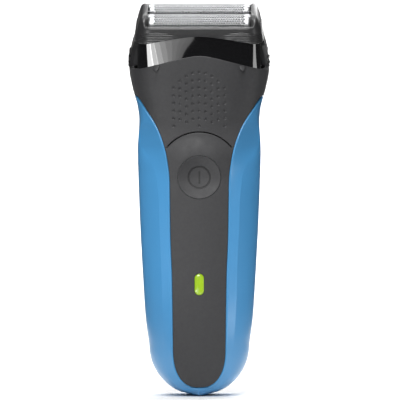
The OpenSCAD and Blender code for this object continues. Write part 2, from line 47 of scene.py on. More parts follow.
# ---------------------------------------------------------------- design lines
# Centre lines of the body, the same as in the CAD: rows of [height, value] in mm
EDGE = [[20, 10.8], [49, 11.15], [63, 11.7], [80, 12], [89, 12.2], [94, 12.8], [99.3, 13.8],
        [105.5, 15.7], [110.8, 18.1], [116, 21.4], [123, 26.1], [126, 28.3]]
WIDTH = [[20.5, 20.5], [31, 21.9], [50, 23.15], [70, 24.2], [90, 24.95], [101, 25.2], [110, 24.65],
         [114, 24.65], [119, 25.4], [125.5, 27.2], [133, 28.6], [148, 28.8]]
FRONT = [[0, -6.5], [1, -9.2], [3.6, -12], [8, -12.9], [20, -13.6], [40, -14], [60, -14.3],
         [80, -14.2], [95, -13.8], [107, -13.7], [120, -14.7], [133, -16.5], [148, -18]]
CROWN = [[0, 0.1], [3.6, 0.2], [10, 0.6], [20, 0.8], [95, 0.9], [104, 1.3], [110.8, 2.8], [116, 5],
         [123, 6], [133, 7], [148, 8]]
CREASE_X = [[0, 0.5], [1, 1.2], [3, 7], [6, 10.5], [10, 12.8], [20.6, 14], [39, 15.05], [55, 15.5],
            [67.5, 16.1], [80, 16.5], [86, 17.1], [91, 17.9], [96, 20.2], [101.8, 23.4], [104.2, 25],
            [108.5, 24.5], [110.8, 23.6], [116, 22.2], [123, 25.3], [133, 26.9], [148, 26.4]]
CREASE_Y = [[0, -5.6], [1, -8.2], [3, -9.4], [6, -10], [10, -10.4], [20, -10.6], [39, -11.2],
            [55, -11.7], [67, -11.8], [80, -11.4], [86, -10.6], [91, -9.4], [96, -7], [101.8, -2.6],
            [104.2, -1.2], [108.5, -2.4], [110.8, -4.6], [116, -7.8], [123, -7.6], [133, -7.9], [148, -8]]
REAR = [[0, 7], [1, 10], [4, 13], [10, 15.6], [20, 17.6], [40, 19.4], [60, 20.2], [80, 20], [100, 19],
        [115, 18], [126, 17.6], [133, 16.4], [138, 14.2], [143, 11], [148, 9]]
STRIP = [[116, 21.4], [123, 24], [133, 25.5], [148, 24.6]]

# Height where the panel's edge starts to turn round the side
EDGE_TURN = 121.8
SPLIT_Y = 1.5
SEAL = 0.3
END_R = 20.5
PAD_T = 1.2
GROOVE = 0.22
# How much wider the rear panel is than the front panel, on each side
REAR_WIDER = 3
HEAD_Y, HEAD_Z, TILT = 1.5, 130.0, math.radians(24)
NECK_Y, NECK_Z, NECK_TILT, NECK_DROP = -16.6, 138.1, math.radians(14), 5.9
SEAM_R, SEAM_Z = 17.1, 90.2
BUTTON_R, BUTTON_Z, LED_Z = 8.8, 89.0, 45.6
FOIL_U, FOIL_W, FOIL_R, FOIL_X = 5.75, 25.0, 4.6, 21.2
CASSETTE_X, CASSETTE_U, CASSETTE_W, CASSETTE_DROP = 25.8, 13.0, 22.8, 3.7
CASSETTE_R = 6.0
POCKET_U = 6.6
SEAM_GAP = 0.18
PAD_RIM = 0.3
SHELL_RIM = 0.45
SHELL_T = 1.6
NUB_X, NUB_Z = 17.5, 133.1
POST_X, POST_R = 16.5, 2.4


def rail(t, z):
    """Smooth curve through the rows of a rail."""
    z = max(t[0][0], min(z, t[-1][0]))
    i = 0
    while i < len(t) - 2 and z >= t[i + 1][0]:
        i += 1

    def grade(k):
        a, b = max(k - 1, 0), min(k + 1, len(t) - 1)
        return (t[b][1] - t[a][1]) / (t[b][0] - t[a][0])

    h = t[i + 1][0] - t[i][0]
    s = (z - t[i][0]) / h
    return (t[i][1] * (1 + 2 * s) * (1 - s) ** 2 + grade(i) * h * s * (1 - s) ** 2
            + t[i + 1][1] * s * s * (3 - 2 * s) + grade(i + 1) * h * s * s * (s - 1))


def smooth(s):
    s = np.clip(s, 0, 1)
    return s * s * (3 - 2 * s)


def panel_x(z):
    """Half width of the black front panel at height z."""
    if z < 20:
        return 10.8 * max(0.0, 1 - (max(0.0, 20 - z) / 16.4) ** 2.4) ** (1 / 2.4)
    return rail(EDGE, z)


def panel_line(gap, wider=0.0):
    """Outline of the panel, moved outwards by gap: heights and half widths, from the bottom up."""
    low = [(10.8 * math.sin(a) ** (1 / 1.2), 20 - 16.4 * math.cos(a) ** (1 / 1.2))
           for a in np.linspace(0, math.pi / 2, 120)]
    line = np.array(low + [(rail(EDGE, z), z) for z in np.arange(20.5, 126, 0.5)])
    line[:, 0] += wider * smooth((line[:, 1] - 3.6) / 6)
    along = np.gradient(line, axis=0)
    along /= np.linalg.norm(along, axis=1)[:, None]
    line = line + gap * np.column_stack([along[:, 1], -along[:, 0]])
    order = np.argsort(line[:, 1], kind="stable")
    return line[order, 1], np.maximum(line[order, 0], 0)


def half_w(z):
    return math.sqrt(max(2.0, END_R ** 2 - (END_R - z) ** 2)) if z < END_R else rail(WIDTH, z)


def edge_x(z):
    if z < 3.7:
        return 0.3 + 0.1 * z
    return max(0.7, panel_x(z) + 0.43) if z < 116 else rail(STRIP, z)


def front_curve(z):
    """Front half of the section at height z, from the centre to the widest point, and its crease x."""
    w, f = half_w(z), rail(FRONT, z)
    b = min(edge_x(z), w - 0.6)
    c = max(b + 0.15, min(rail(CREASE_X, z), w - 0.12))
    by, cy = f + rail(CROWN, z), min(rail(CREASE_Y, z), SPLIT_Y - 1)
    py = min(cy + (w - c) * 0.9, SPLIT_Y - 0.3)
    x = w * np.sin(np.linspace(0, math.pi / 2, 150))
    x = np.unique(np.concatenate([x, [b, c, c - 0.3, min(c + 0.3, w)]]).clip(0, w))
    s = 1 - np.sqrt(np.clip(1 - (x - c) / (w - c), 0, 1))
    y = np.where(x <= b, f + (by - f) * (x / b) ** 2,
                 np.where(x <= c, by + (cy - by) * (x - b) / (c - b),
                          (1 - s) ** 2 * cy + 2 * s * (1 - s) * py + s * s * SPLIT_Y))
    # towards the neck the section turns into one smooth oval
    oval = SPLIT_Y - (SPLIT_Y - f) * (1 - np.clip(x / w, 0, 1) ** 3) ** (1 / 3)
    k = smooth((z - 108) / 10)
    return np.column_stack([x, y * (1 - k) + oval * k]), c


def rear_curve(z):
    """Rear half of the section, from the widest point to the rear centre."""
    w, r = half_w(z), rail(REAR, z)
    a = np.linspace(0, math.pi / 2, 120)
    return np.column_stack([w * np.cos(a) ** 0.8, SPLIT_Y + (r - SPLIT_Y) * np.sin(a) ** 0.8])


def front_y(x, z):
    c, _ = front_curve(z)
    return float(np.interp(abs(x), c[:, 0], c[:, 1]))


def lengths(line):
    return np.concatenate([[0], np.cumsum(np.linalg.norm(np.diff(line, axis=0), axis=1))])


def between(line, start, stop, shares):
    """Points along a line between two lengths along it, at the given shares of that stretch."""
    at = start + (stop - start) * np.asarray(shares)
    run = lengths(line)
    return np.column_stack([np.interp(at, run, line[:, k]) for k in range(line.shape[1])])


def arch(x):
    """Arch of the neck and of the cassette's lower edge, 0 at the centre and 1 at 24 mm."""
    return (math.sqrt(1 + (x / 6) ** 2) - 1) / (math.sqrt(17) - 1)


def neck_z(x, y):
    """Height of the neck line above a point of the plan."""
    return NECK_Z - NECK_DROP * arch(x) / math.cos(NECK_TILT) + (y - NECK_Y) * math.tan(NECK_TILT)


def cassette_low(x):
    """Height of the cassette's lower edge in the head's frame."""
    return CASSETTE_W - CASSETTE_DROP * arch(x)


def head(x, u, w):
    """A point of the head's own frame, put in the row frame."""
    return (x, HEAD_Y + u * math.cos(TILT) - w * math.sin(TILT),
            HEAD_Z + u * math.sin(TILT) + w * math.cos(TILT))


# ---------------------------------------------------------------- mesh helpers
def to_object(bm, name, sharp=35):
    """Turns a bmesh in mm into an object in metres, smooth apart from edges sharper than sharp degrees."""
    bmesh.ops.recalc_face_normals(bm, faces=bm.faces)
    for v in bm.verts:
        v.co *= MM
    mesh = bpy.data.meshes.new(name)
    bm.to_mesh(mesh)
    bm.free()
    mesh.shade_smooth()
    mesh.set_sharp_from_angle(angle=math.radians(sharp))
    obj = bpy.data.objects.new(name, mesh)
    bpy.context.scene.collection.objects.link(obj)
    return obj


def add_grid(bm, grid, closed=False):
    """Quads over a grid of points; a closed grid joins its last column to its first."""
    rows, cols = len(grid), len(grid[0])
    verts = [[bm.verts.new(p) for p in row] for row in grid]
    for i in range(rows - 1):
        for j in range(cols if closed else cols - 1):
            k = (j + 1) % cols
            bm.faces.new((verts[i][j], verts[i][k], verts[i + 1][k], verts[i + 1][j]))
    return verts


def weld(bm, gap=1e-4):
    """Joins points that meet, drops flat faces and turns every face of a skin outwards."""
    bmesh.ops.remove_doubles(bm, verts=bm.verts, dist=gap)
    flat = [f for f in bm.faces if f.calc_area() < 1e-9]
    bmesh.ops.delete(bm, geom=flat, context="FACES")
    bmesh.ops.recalc_face_normals(bm, faces=bm.faces)
    middle = sum((f.calc_center_median() for f in bm.faces), Vector()) / len(bm.faces)
    middle.y = SPLIT_Y
    lean = 0.0
    for f in bm.faces:
        d = f.calc_center_median() - middle
        d.z = 0
        lean += f.calc_area() * f.normal.dot(d)
    if lean < 0:
        bmesh.ops.reverse_faces(bm, faces=bm.faces)


def round_edges(bm, radius, depth, steps=4):
    """Gives an open skin rounded rims, walls and a back, so that it becomes a solid plate.
    radius and depth are in mm, or functions of the rim point."""
    bm.normal_update()
    top = list(bm.faces)
    rim = [e for e in bm.edges if e.is_boundary]
    out, normal = {}, {}
    for e in rim:
        f = e.link_faces[0]
        a, b = (v.co for v in e.verts)
        side = (b - a).cross(f.normal)
        if side.dot((a + b) / 2 - f.calc_center_median()) < 0:
            side.negate()
        for v in e.verts:
            out[v] = out.get(v, Vector()) + side.normalized()
            normal[v] = v.normal.copy()
    for v in out:
        n = normal[v]
        out[v] = (out[v] - n * out[v].dot(n)).normalized()
    size = {v: (radius(v.co) if callable(radius) else radius) for v in out}
    deep = {v: (depth(v.co) if callable(depth) else depth) for v in out}
    back = {v: bm.verts.new(v.co - v.normal * (depth(v.co) if callable(depth) else depth))
            for v in list(bm.verts)}
    for f in top:
        bm.faces.new([back[v] for v in reversed(f.verts)])
    last = {v: v for v in out}
    for k in range(1, steps + 1):
        a = math.pi / 2 * k / steps
        ring = {}
        for v in out:
            drop = normal[v] * size[v] * (1 - math.cos(a))
            ring[v] = bm.verts.new(v.co + out[v] * size[v] * math.sin(a) - drop)
        for e in rim:
            a0, b0 = e.verts
            bm.faces.new((last[a0], last[b0], ring[b0], ring[a0]))
        last = ring
    ring = {}
    for v in out:
        drop = normal[v] * max(deep[v], size[v] + 0.05)
        ring[v] = bm.verts.new(v.co + out[v] * size[v] - drop)
    for e in rim:
        a0, b0 = e.verts
        bm.faces.new((last[a0], last[b0], ring[b0], ring[a0]))
        bm.faces.new((ring[a0], ring[b0], back[b0], back[a0]))
    bmesh.ops.remove_doubles(bm, verts=bm.verts, dist=1e-5)


def cut(obj, tools, operation="DIFFERENCE"):
    """Cuts closed solids out of an object and applies the result."""
    for tool in tools:
        m = obj.modifiers.new("cut", "BOOLEAN")
        m.object, m.operation, m.solver = tool, operation, "EXACT"
    bpy.context.view_layer.update()
    done = bpy.data.meshes.new_from_object(obj.evaluated_get(bpy.context.evaluated_depsgraph_get()))
    obj.modifiers.clear()
    obj.data = done
    for tool in tools:
        bpy.data.objects.remove(tool)
    return obj


def prism(name, outline, place, z0, z1):
    """Closed prism: (a, b) points pushed from c = z0 to c = z1, each mapped by place(a, b, c)."""
    bm = bmesh.new()
    low = [bm.verts.new(place(a, b, z0)) for a, b in outline]
    high = [bm.verts.new(place(a, b, z1)) for a, b in outline]
    n = len(outline)
    for i in range(n):
        bm.faces.new((low[i], low[(i + 1) % n], high[(i + 1) % n], high[i]))
    bm.faces.new(low[::-1])
    bm.faces.new(high)
    return to_object(bm, name)


def round_rect(x, y, r, steps=8):
    """Outline of a rectangle of half sizes x and y with round corners."""
    points = []
    for k, (sx, sy) in enumerate([(1, 1), (-1, 1), (-1, -1), (1, -1)]):
        for i in range(steps + 1):
            a = math.pi / 2 * (k + i / steps)
            points.append((sx * (x - r) + r * math.cos(a), sy * (y - r) + r * math.sin(a)))
    return points


def circle(x, y, r, n=48):
    turn = [2 * math.pi * i / n for i in range(n)]
    return [(x + r * math.cos(a), y + r * math.sin(a)) for a in turn]


def stadium(w, h, n=12):
    r = w / 2
    arcs = [(h / 2 - r, 0), (r - h / 2, math.pi)]
    return [(r * math.cos(a0 + math.pi * i / n), c + r * math.sin(a0 + math.pi * i / n))
            for c, a0 in arcs for i in range(n + 1)]


def across(a, b, c):
    """Maps (x, z, y) outlines to points, for prisms that run along Y."""
    return (a, c, b)


def head_across(a, b, c):
    """The same in the head's frame: (x, w, u)."""
    return head(a, c, b)


# ---------------------------------------------------------------- materials
def material(name, colour, rough, metal=0.0, coat=0.0, coat_rough=0.05, grain=None, bump=None,
             rough_vary=None, sheen=0.0, emission=None):
    """Principled material; grain mixes a second colour by noise, bump and rough_vary add fine texture.
    grain is (scale, colour, amount, stretch if any), bump (scale, height in mm), rough_vary (scale, spread),
    emission (colour, strength)."""
    m = bpy.data.materials.new(name)
    m.use_nodes = True
    nodes, links = m.node_tree.nodes, m.node_tree.links
    shader = nodes["Principled BSDF"]
    shader.inputs["Base Color"].default_value = (*colour, 1)
    shader.inputs["Roughness"].default_value = rough
    shader.inputs["Metallic"].default_value = metal
    shader.inputs["Coat Weight"].default_value = coat
    shader.inputs["Coat Roughness"].default_value = coat_rough
    shader.inputs["Sheen Weight"].default_value = sheen
    where = nodes.new("ShaderNodeTexCoord")

    def noise(scale, detail=4.0, stretch=None):
        n = nodes.new("ShaderNodeTexNoise")
        n.inputs["Scale"].default_value = scale
        n.inputs["Detail"].default_value = detail
        n.inputs["Roughness"].default_value = 0.6
        if stretch:
            mapping = nodes.new("ShaderNodeMapping")
            mapping.inputs["Scale"].default_value = stretch
            links.new(where.outputs["Object"], mapping.inputs["Vector"])
            links.new(mapping.outputs["Vector"], n.inputs["Vector"])
        else:
            links.new(where.outputs["Object"], n.inputs["Vector"])
        return n

    if grain:
        scale, second, amount = grain[:3]
        n = noise(scale, stretch=grain[3] if len(grain) > 3 else None)
        ramp = nodes.new("ShaderNodeMapRange")
        ramp.inputs["From Min"].default_value = 0.35
        ramp.inputs["From Max"].default_value = 0.65
        ramp.inputs["To Max"].default_value = amount
        links.new(n.outputs["Fac"], ramp.inputs["Value"])
        mix = nodes.new("ShaderNodeMix")
        mix.data_type = "RGBA"
        mix.inputs["A"].default_value = (*colour, 1)
        mix.inputs["B"].default_value = (*second, 1)
        links.new(ramp.outputs["Result"], mix.inputs["Factor"])
        links.new(mix.outputs["Result"], shader.inputs["Base Color"])
    if rough_vary:
        n = noise(rough_vary[0])
        ramp = nodes.new("ShaderNodeMapRange")
        ramp.inputs["From Min"].default_value = 0.3
        ramp.inputs["From Max"].default_value = 0.7
        ramp.inputs["To Min"].default_value = max(0.0, rough - rough_vary[1])
        ramp.inputs["To Max"].default_value = min(1.0, rough + rough_vary[1])
        links.new(n.outputs["Fac"], ramp.inputs["Value"])
        links.new(ramp.outputs["Result"], shader.inputs["Roughness"])
    if bump:
        n = noise(bump[0], detail=3)
        b = nodes.new("ShaderNodeBump")
        b.inputs["Strength"].default_value = 1.0
        b.inputs["Distance"].default_value = bump[1] * MM
        links.new(n.outputs["Fac"], b.inputs["Height"])
        links.new(b.outputs["Normal"], shader.inputs["Normal"])
    if emission:
        shader.inputs["Emission Color"].default_value = (*emission[0], 1)
        shader.inputs["Emission Strength"].default_value = emission[1]
    return m


ACROSS_GRAIN = (0.03, 1, 1)
MATS = {
    "blue_shell": material(
        "blue_plastic", (0.062, 0.262, 0.52), 0.32, coat=0.25, coat_rough=0.15,
        grain=(30, (0.058, 0.25, 0.5), 0.5), bump=(2600, 0.001), rough_vary=(180, 0.04)),
    "soft_grip": material(
        "soft_grip", (0.029, 0.029, 0.031), 0.55, sheen=0.06, grain=(900, (0.023, 0.023, 0.025), 0.7),
        bump=(3800, 0.02), rough_vary=(400, 0.06)),
    "gloss_black": material(
        "piano_black", (0.003, 0.003, 0.0035), 0.06, coat=1.0, coat_rough=0.03, rough_vary=(60, 0.02),
        grain=(40, (0.004, 0.004, 0.005), 0.5)),
    "frame_black": material(
        "satin_black", (0.028, 0.028, 0.029), 0.36, grain=(700, (0.022, 0.022, 0.023), 0.6),
        bump=(3000, 0.006), rough_vary=(300, 0.05)),
    "button_black": material(
        "button_black", (0.016, 0.016, 0.017), 0.3, grain=(600, (0.012, 0.012, 0.013), 0.6),
        bump=(2600, 0.004), rough_vary=(250, 0.05)),
    "green_lens": material(
        "green_lens", (0.22, 0.36, 0.015), 0.22, coat=0.6, grain=(220, (0.32, 0.5, 0.02), 0.5),
        emission=((0.35, 0.56, 0.015), 0.25)),
    "foil_steel": material(
        "foil_steel", (0.36, 0.365, 0.37), 0.38, metal=1.0, grain=(500, (0.3, 0.305, 0.31), 0.6),
        rough_vary=(700, 0.07), bump=(1500, 0.002)),
    # Blade steel is darker than the other steels: partly the ground steel's own tone, partly painted shade
    # standing in for the dark inside of the head seen through the foil holes.
    "blade_steel": material(
        "blade_steel", (0.22, 0.22, 0.23), 0.3, metal=1.0,
        grain=(500, (0.16, 0.16, 0.17), 0.6, ACROSS_GRAIN), rough_vary=(900, 0.08)),
    "plain_steel": material(
        "plated_steel", (0.55, 0.56, 0.58), 0.3, metal=1.0, grain=(300, (0.45, 0.46, 0.48), 0.6),
        rough_vary=(500, 0.08)),
    "motor_steel": material(
        "zinc_steel", (0.42, 0.43, 0.45), 0.38, metal=1.0, grain=(160, (0.34, 0.35, 0.37), 0.7),
        rough_vary=(240, 0.1)),
    "brass": material(
        "turned_brass", (0.6, 0.44, 0.16), 0.28, metal=1.0, grain=(400, (0.5, 0.36, 0.12), 0.6),
        rough_vary=(600, 0.08)),
    "gold_pin": material(
        "gold_plate", (0.85, 0.62, 0.25), 0.2, metal=1.0, grain=(500, (0.75, 0.54, 0.2), 0.5),
        rough_vary=(600, 0.06)),
    "inner_plastic": material(
        "inner_plastic", (0.12, 0.125, 0.135), 0.45, grain=(500, (0.1, 0.105, 0.115), 0.6),
        bump=(2400, 0.008), rough_vary=(300, 0.06)),
    "white_plastic": material(
        "acetal", (0.55, 0.56, 0.57), 0.35, grain=(400, (0.5, 0.51, 0.52), 0.6), bump=(2000, 0.004),
        rough_vary=(300, 0.06)),
    "cell_sleeve": material(
        "cell_sleeve", (0.05, 0.24, 0.09), 0.3, coat=0.4, grain=(120, (0.04, 0.2, 0.07), 0.6),
        rough_vary=(200, 0.06)),
    "board_green": material(
        "solder_resist", (0.012, 0.12, 0.045), 0.32, coat=0.3, grain=(900, (0.02, 0.17, 0.07), 0.8),
        bump=(1200, 0.01)),
    "chip_black": material(
        "chip_black", (0.02, 0.02, 0.022), 0.5, grain=(900, (0.03, 0.03, 0.032), 0.7), bump=(2500, 0.01)),
    "seal_rubber": material(
        "seal_rubber", (0.018, 0.018, 0.019), 0.6, grain=(700, (0.025, 0.025, 0.026), 0.6),
        bump=(2500, 0.01)),
    "lead_red": material(
        "lead_red", (0.3, 0.02, 0.02), 0.45, grain=(300, (0.24, 0.015, 0.015), 0.6), bump=(1500, 0.008)),
}
# Near-black colour for the power symbol: painted shade, standing in for the shadow inside an engraving.
ENGRAVING_SHADE = material("engraving_painted_shade", (0.008, 0.008, 0.009), 0.55, grain=(900, (0.012, 0.012, 0.013), 0.6))


def finish_piece(obj, name, body, nodes=(), slot=None, extra=()):
    """Names a piece, gives it its finish, puts it on its body and says what it replaces."""
    obj.name = obj.data.name = name
    for m in [MATS.get(slot, None), *extra]:
        if m:
            obj.data.materials.append(m)
    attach(obj, body)
    if nodes:
        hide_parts(*nodes)
    return obj


# ---------------------------------------------------------------- surface of the body
def hill(x, z):
    """Swell of the strip above the power button, in mm."""
    r = math.hypot(x, z - BUTTON_Z)
    up = (z - BUTTON_Z) / max(r, 1e-6)
    fall = smooth((18.2 - r) / (18.2 - 9.6)) if r > 9.6 else 1.0
    return 0.95 * float(fall) * float(smooth((up + 0.25) / 1.25))


def dimple_centres():
    """Field of small hollows: columns that start lower towards the sides."""
    spots = []
    for i, count in enumerate([8, 7, 7, 6, 6]):
        top = 131.4 - 0.39 * i * i
        for k in range(count):
            for s in ((1,) if i == 0 else (1, -1)):
                spots.append((s * 2.58 * i, top - 3.08 * k))
    return np.array(spots)


SPOTS = dimple_centres()


def dimple(x, z):
    d = np.min(np.hypot(SPOTS[:, 0] - x, SPOTS[:, 1] - z))
    return 0.0 if d > 0.6 else 0.45 * (1 - (d / 0.6) ** 2) ** 0.8


def knots(line, c, a, b, before, after):
    """Shares of a stretch with a tight pair of columns each side of the crease."""
    run = lengths(line)
    at = float(np.interp(c, line[:, 0], run))
    at = min(max(at, a + 0.02 * (b - a) + 0.01), b - 0.02 * (b - a) - 0.01)
    d = min(0.22, 0.3 * (at - a), 0.3 * (b - at))
    lo, hi = (at - d - a) / (b - a), (at + d - a) / (b - a)
    mid = (at - a) / (b - a)
    return np.concatenate([np.linspace(0, lo, before), [mid], np.linspace(hi, 1, after)])


def levels(start):
    """Heights of rows round the lower end, close together at z 0 and at the panel's lowest point."""
    low = [start * math.sin(math.pi / 2 * i / 12) ** 2 for i in range(12)]
    return low + [20 - (20 - start) * math.cos(math.pi / 2 * i / 26) for i in range(27)]


def shell_rows(start):
    """Heights of the rows of a shell."""
    return levels(start) + list(np.arange(21.5, 88, 1.5)) + list(np.arange(88, 123, 0.6))


def shell(name, node, right, outer_rim, rim_steps, sharp):
    """Solid shell from the rows of its right half, with the hole for the charging socket.
    outer_rim says whether a rim point lies beside a pad, where the edge is rounder."""
    left = [[(-x, y, z) for x, y, z in row] for row in right]
    bm = bmesh.new()
    add_grid(bm, right)
    add_grid(bm, left)
    # under side: joins the two halves below the panel
    add_grid(bm, [right[0], left[0]])
    weld(bm, 2e-3)
    round_edges(bm, lambda p: SHELL_RIM if outer_rim(p) else 0.2, SHELL_T, rim_steps)
    obj = to_object(bm, name, sharp)
    socket = prism("socket_cut", round_rect(6.95, 4.75, 0.8), lambda a, b, c: (a, SPLIT_Y + b, c), -5, 13)
    cut(obj, [socket])
    return finish_piece(obj, name, "housing", [node], "blue_shell")


def front_shell():
    """Blue front shell: from the panel's groove round to the split, and under the round end."""
    edge = panel_line(GROOVE / 2 + SHELL_RIM)
    right = []
    for z in shell_rows(edge[0][0]):
        line, c = front_curve(z)
        run = lengths(line)
        x0 = float(np.interp(z, *edge, left=0.0))
        if x0 > half_w(z) - 0.05:
            break
        a = float(np.interp(x0, line[:, 0], run))
        b = float(np.interp(SPLIT_Y - SEAL - 0.2, line[:, 1], run))
        if b - a < 0.06:
            break
        shares = knots(line, c, a, b, 9, 12)
        right.append([(x, y, z) for x, y in between(line, a, b, shares)])
    return shell("front_shell_skin", "front_shell", right, lambda p: p.y < SPLIT_Y - 1.2, 8, 14)


def rear_shell():
    """Blue rear shell beside the rear grip pad."""
    edge = panel_line(GROOVE / 2 + SHELL_RIM, REAR_WIDER)
    right = []
    for z in shell_rows(edge[0][0]):
        line = rear_curve(z)
        run = lengths(line)
        a = float(np.interp(SPLIT_Y + SEAL + 0.2, line[:, 1], run))
        x1 = float(np.interp(z, *edge, left=0.0))
        if x1 > half_w(z) - 0.05:
            break
        b = run[-1] - float(np.interp(x1, line[::-1, 0], (run[-1] - run)[::-1]))
        if b - a < 0.06:
            break
        right.append([(x, y, z) for x, y in between(line, a, b, np.linspace(0, 1, 20))])
    return shell("rear_shell_skin", "rear_shell", right, lambda p: p.y > SPLIT_Y + 1.2, 4, 40)


def panel_limit(z, line, run, edge):
    """Length along a front curve, from the centre, to the panel's edge or, above it, to the split."""
    end = float(np.interp(SPLIT_Y - SEAL - 0.15, line[:, 1], run))
    x1 = float(np.interp(z, *edge))
    share = min(1.0, float(np.interp(min(x1, half_w(z)), line[:, 0], run)) / end)
    turn = float(smooth((z - EDGE_TURN) / 3.6))
    return end * (share * (1 - turn) + turn)


def upper_grip_pad():
    """Soft dimpled grip over the neck, with two small nubs."""
    edge = panel_line(-GROOVE / 2 - PAD_RIM)

    def seam(x):
        r = SEAM_R + SEAM_GAP + PAD_RIM
        return SEAM_Z + math.sqrt(max(r * r - x * x, 0.0)) if x < r else SEAM_Z

    shares = np.concatenate([np.linspace(0, 0.5, 70)[:-1], np.linspace(0.5, 1, 40)])
    rows = 170
    grid = []
    cache = {}

    def at(z, t):
        key = round(z, 4)
        if key not in cache:
            line, _ = front_curve(z)
            run = lengths(line)
            cache[key] = (line, run, panel_limit(z, line, run, edge))
        line, run, end = cache[key]
        s = t * end
        return float(np.interp(s, run, line[:, 0])), float(np.interp(s, run, line[:, 1]))

    bottoms, tops = [], []
    for t in shares:
        lo, hi = 98.0, 110.0
        for _ in range(22):
            mid = (lo + hi) / 2
            if seam(at(mid, t)[0]) > mid:
                lo = mid
            else:
                hi = mid
        bottoms.append((lo + hi) / 2)
        lo, hi = 128.0, 145.0
        for _ in range(22):
            mid = (lo + hi) / 2
            x, y = at(mid, t)
            if neck_z(x, y) - PAD_RIM - 0.05 > mid:
                lo = mid
            else:
                hi = mid
        tops.append((lo + hi) / 2)
    for i in range(rows + 1):
        v = i / rows
        row = []
        for t, z0, z1 in zip(shares, bottoms, tops):
            z = z0 + (z1 - z0) * v
            x, y = at(z, t)
            row.append((x, y + dimple(x, z), z))
        grid.append([(-x, y, z) for x, y, z in row[:0:-1]] + row)
    bm = bmesh.new()
    add_grid(bm, grid)
    weld(bm)
    round_edges(bm, PAD_RIM, lambda p: PAD_T + 0.6 * float(smooth((p.z - 126) / 6)))
    for s in (-1, 1):
        nub(bm, s * NUB_X, NUB_Z)
    pad = to_object(bm, "upper_pad_piece", 50)
    return finish_piece(pad, "upper_grip_skin", "housing", ["upper_grip_pad"], "soft_grip")


def nub(bm, x, z):
    """Small shield-shaped wedge: flush at its top edge, proud at its pointed lower edge."""
    outline = [(-1.3, 1.0), (0, 1.15), (1.3, 1.0), (1.25, 0.2), (0.95, -0.55),
               (0.45, -1.1), (0, -1.25), (-0.45, -1.1), (-0.95, -0.55), (-1.25, 0.2)]
    rows = []
    for size, rise in [(1.0, -0.5), (1.0, 0.75), (0.9, 1.0), (0.6, 1.05), (0.04, 1.05)]:
        row = []
        for a, b in outline:
            px, pz = x + a * size, z + b * size
            proud = rise * (0.08 + 0.92 * (1.15 - b * size) / 2.4) if rise > 0 else rise
            row.append((px, front_y(px, pz) - 1.9 * proud, pz))
        rows.append(row)
    add_grid(bm, rows, closed=True)


def centre_strip():
    """Long control strip with the finger hill over the power button."""
    edge = panel_line(-GROOVE / 2 - PAD_RIM)
    zs = levels(edge[0][0])[12:] + list(np.arange(21, 74, 1.0)) + list(np.arange(74, 101.2, 0.4))
    shares = np.linspace(0, 1, 40)
    right = []
    for z in zs:
        line, _ = front_curve(z)
        run = lengths(line)
        end = float(np.interp(float(np.interp(z, *edge)), line[:, 0], run))
        right.append([(x, y - hill(x, z), z) for x, y in between(line, 0, end, shares)])
    # cap under the seam arc: each column runs up to the arc
    z_last = zs[-1]
    x_last = [p[0] for p in right[-1]]
    r = SEAM_R - SEAM_GAP - PAD_RIM
    steps = 14
    for i in range(1, steps + 1):
        row = []
        for x in x_last:
            z1 = SEAM_Z + math.sqrt(max(r * r - x * x, 0.0))
            z = z_last + (max(z1, z_last + 0.004) - z_last) * i / steps
            row.append((x, front_y(x, z) - hill(x, z), z))
        right.append(row)
    grid = [[(-x, y, z) for x, y, z in row[:0:-1]] + row for row in right]
    bm = bmesh.new()
    add_grid(bm, grid)
    weld(bm, 2e-3)
    round_edges(bm, PAD_RIM, PAD_T)
    strip = to_object(bm, "strip_piece", 50)
    tools = [prism("button_cut", circle(0, BUTTON_Z, BUTTON_R + 0.06, 96), across, -30, -5),
             prism("led_cut", [(a, b + LED_Z) for a, b in stadium(4.0, 8.9, 20)], across, -30, -5)]
    cut(strip, tools)
    strip.data.set_sharp_from_angle(angle=math.radians(50))
    return finish_piece(strip, "centre_strip_skin", "housing", ["centre_strip"], "soft_grip")


def rear_grip_pad():
    """Soft grip over the back, ribbed across its middle."""
    edge = panel_line(-GROOVE / 2 - PAD_RIM, REAR_WIDER)
    shares = np.linspace(0, 1, 44)
    zs = levels(edge[0][0])[12:] + list(np.arange(20.4, 129, 0.4))

    def points(z, t):
        """Points of the rear at height z, at shares t of the way from the centre to the pad's edge."""
        line = rear_curve(z)
        run = lengths(line)
        back, run_back = line[::-1], (run[-1] - run)[::-1]
        x1 = float(np.interp(z, *edge, right=99.0))
        end = run[-1] - float(np.interp(SPLIT_Y + SEAL + 0.15, line[:, 1], run))
        if x1 < half_w(z) - 0.01:
            end = min(end, float(np.interp(x1, back[:, 0], run_back)))
        return np.interp(t * end, run_back, back[:, 0]), np.interp(t * end, run_back, back[:, 1])

    def rib(x, z):
        zone = smooth((z - 34) / 3) * smooth((104 - z) / 3) * smooth((10.5 - abs(x)) / 1.5)
        wave = 0.5 + 0.5 * math.cos(2 * math.pi * (z + 0.035 * x * x) / 5.0)
        return 0.42 * float(zone) * wave ** 3

    right = [[(x, y - rib(x, z), z) for x, y in zip(*points(z, shares))] for z in zs]
    z_last = zs[-1]
    tops = []
    for t in shares:
        lo, hi = z_last, 147.0
        for _ in range(22):
            mid = (lo + hi) / 2
            x, y = points(mid, t)
            if neck_z(x, y) - PAD_RIM - 0.05 > mid:
                lo = mid
            else:
                hi = mid
        tops.append((lo + hi) / 2)
    steps = 26
    for i in range(1, steps + 1):
        row = []
        for t, z1 in zip(shares, tops):
            z = z_last + (z1 - z_last) * i / steps
            x, y = points(z, t)
            row.append((x, y, z))
        right.append(row)
    grid = [[(-x, y, z) for x, y, z in row[:0:-1]] + row for row in right]
    bm = bmesh.new()
    add_grid(bm, grid)
    weld(bm, 2e-3)
    round_edges(bm, PAD_RIM, PAD_T)
    pad = to_object(bm, "rear_pad_piece", 50)
    return finish_piece(pad, "rear_grip_skin", "housing", ["rear_grip_pad"], "soft_grip")


